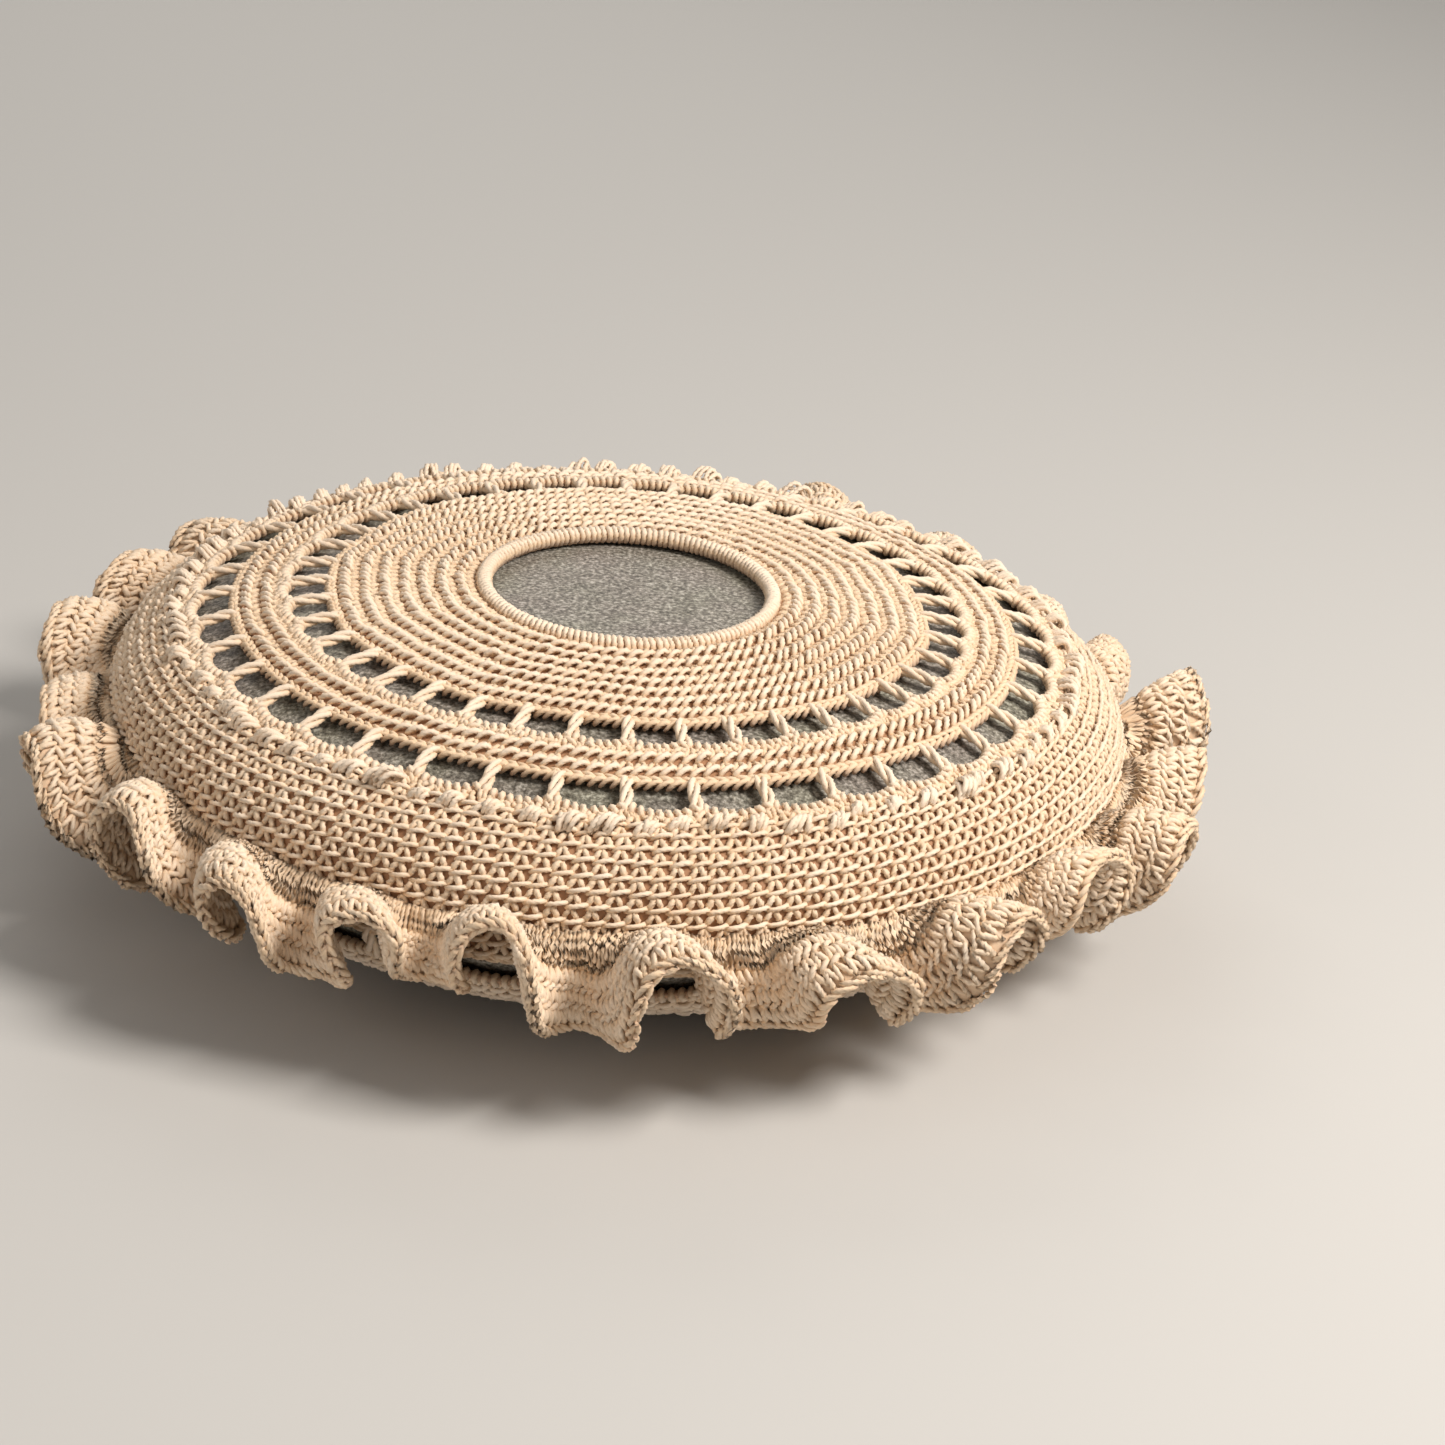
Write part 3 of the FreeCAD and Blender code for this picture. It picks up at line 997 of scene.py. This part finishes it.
def ruffle():
    """The ruffle's rounds, stitched on both faces of one gathered strip of cloth."""
    name = "ruffle_tall_stitches"
    node = "ruffle_tall_round"
    motifs = (RUFFLE_LEFT, RUFFLE_RIGHT)
    width = RUFFLE_TALL_SHARE
    ruffle_stitches(name, node, motifs, RUFFLE_TALL_STITCHES, 0.0, width, 0.0, 0.45 * MM)
    start = RUFFLE_TALL_SHARE
    width = RUFFLE_LOW_SHARE
    motifs = (RUFFLE_LOOP, RUFFLE_INNER, RUFFLE_OUTER)
    for number in range(1, RUFFLE_LOW_ROUNDS + 1):
        name = f"ruffle_low_stitches_{number}"
        node = f"ruffle_low_round_{number}"
        shift = 0.3 * number
        ruffle_stitches(name, node, motifs, RUFFLE_LOW_STITCHES, start, width, shift, 0.47 * MM)
        start += RUFFLE_LOW_SHARE
    name = "ruffle_edge_stitches"
    node = "ruffle_edge_round"
    motifs = (RUFFLE_INNER, RUFFLE_OUTER, RUFFLE_RIM)
    width = 1.0 - start
    ruffle_stitches(name, node, motifs, RUFFLE_EDGE_STITCHES, start, width, 0.1, 0.48 * MM)
    fabric(
        "ruffle_fabric",
        ruffle_place,
        0.0,
        0.99,
        steps_round=960,
        step_across=1.6 * MM,
        span=RUFFLE_WIDTH,
        half=0.2 * MM,
        depth=0.56,
    )


# ---------------------------------------------------------------- the whole cover

def cover_top():
    """Ring, ridged rounds, two lace rounds and the bobbles; returns where the side starts."""
    window_ring(WINDOW_RADIUS, RING_WIDTH)
    start = WINDOW_RADIUS + RING_WIDTH
    lace_start = start + TOP_ROUNDS * TOP_ROUND_WIDTH
    cloth_end = lace_start + CLOTH_TUCK * INNER_CHAIN_WIDTH
    fabric("top_fabric", place, start - 1.0 * MM, cloth_end)
    more = LAST_TOP_STITCHES - FIRST_TOP_STITCHES
    counts = [
        FIRST_TOP_STITCHES + round(more * number / (TOP_ROUNDS - 1)) for number in range(TOP_ROUNDS)
    ]
    start = rounds("top", top_row, start, TOP_ROUND_WIDTH, counts, 0.37)
    lace_round(
        "inner_lace",
        start,
        INNER_CHAIN_WIDTH,
        INNER_POST_LENGTH,
        LACE_HOLES,
        links=5,
        wraps=7,
        bow=1.7 * MM,
    )
    start += 2 * INNER_CHAIN_WIDTH + INNER_POST_LENGTH
    lace_start = start + MIDDLE_ROUNDS * MIDDLE_ROUND_WIDTH
    cloth_end = lace_start + CLOTH_TUCK * OUTER_CHAIN_WIDTH
    fabric("middle_fabric", place, start, cloth_end)
    counts = [MIDDLE_STITCHES] * MIDDLE_ROUNDS
    start = rounds("middle", top_row, start, MIDDLE_ROUND_WIDTH, counts, 0.3)
    lace_round(
        "outer_lace",
        start,
        OUTER_CHAIN_WIDTH,
        OUTER_POST_LENGTH,
        LACE_HOLES,
        links=6,
        wraps=8,
        bow=1.9 * MM,
    )
    start += 2 * OUTER_CHAIN_WIDTH + OUTER_POST_LENGTH
    bobble_round(start, BOBBLE_LENGTH)
    return start + BOBBLE_LENGTH


def cover_side(start):
    """Plain rounds down to the ruffle's foundation; returns where the hem starts."""
    upper = slice(0, UPPER_POINTS)
    root = float(np.interp(-ROOT_HEIGHT, -heights[upper], lengths[upper]))
    foundation = root - FOUNDATION_WIDTH / 2
    hem_start = foundation + FOUNDATION_WIDTH
    hem_end = hem_start + HEM_ROUNDS * HEM_ROUND_WIDTH
    cloth_end = hem_end + CLOTH_TUCK * UNDER_CHAIN_WIDTH
    fabric("side_fabric", place, start - BOBBLE_LENGTH, cloth_end)
    width = (foundation - start) / SIDE_ROUNDS
    rounds("side", side_row, start, width, [SIDE_STITCHES] * SIDE_ROUNDS, -0.06)
    name = "foundation_stitches"
    node = "ruffle_foundation"
    round_piece(name, node, side_row, foundation, FOUNDATION_WIDTH, SIDE_STITCHES, 0.2)
    return hem_start


def cover_underside(start):
    """Hem rounds, the underside lace and the rounds that close under the stone."""
    start = rounds("hem", side_row, start, HEM_ROUND_WIDTH, [SIDE_STITCHES] * HEM_ROUNDS, 0.3)
    lace_round(
        "under_lace",
        start,
        UNDER_CHAIN_WIDTH,
        UNDER_POST_LENGTH,
        LACE_HOLES,
        links=6,
        wraps=8,
        bow=1.6 * MM,
    )
    start += 2 * UNDER_CHAIN_WIDTH + UNDER_POST_LENGTH
    fabric("underside_fabric", place, start, BODY_LENGTH + REST_RADIUS - 0.5 * MM)
    width = (BODY_LENGTH - start) / UNDER_ROUNDS
    middles = [start + (number + 0.5) * width for number in range(UNDER_ROUNDS)]
    counts = [round(ring_length(middle) / UNDER_STITCH_WIDTH) for middle in middles]
    start = rounds("under", top_row, start, width, counts, 0.3, rows=2)
    base = Yarn()
    width = (REST_RADIUS - 1.0 * MM) / BASE_ROWS
    for number in range(BASE_ROWS):
        count = max(round(ring_length(start + width / 2) / UNDER_STITCH_WIDTH), 5)
        top_row(base, start, width, count, 0.3 * number)
        start += width
    piece("base_stitches", base, cotton, ["base_disc"])


bpy.context.scene.view_settings.view_transform = "Standard"
make_camera()
make_studio()
cotton = cotton_material("ecru_cotton", COTTON_LIGHT, COTTON_PAINTED_SHADE)
stone_node = bpy.data.objects["stone_core"]
stone_node.data.materials.clear()
stone_node.data.materials.append(stone_material())
side_start = cover_top()
hem_start = cover_side(side_start)
ruffle()
cover_underside(hem_start)
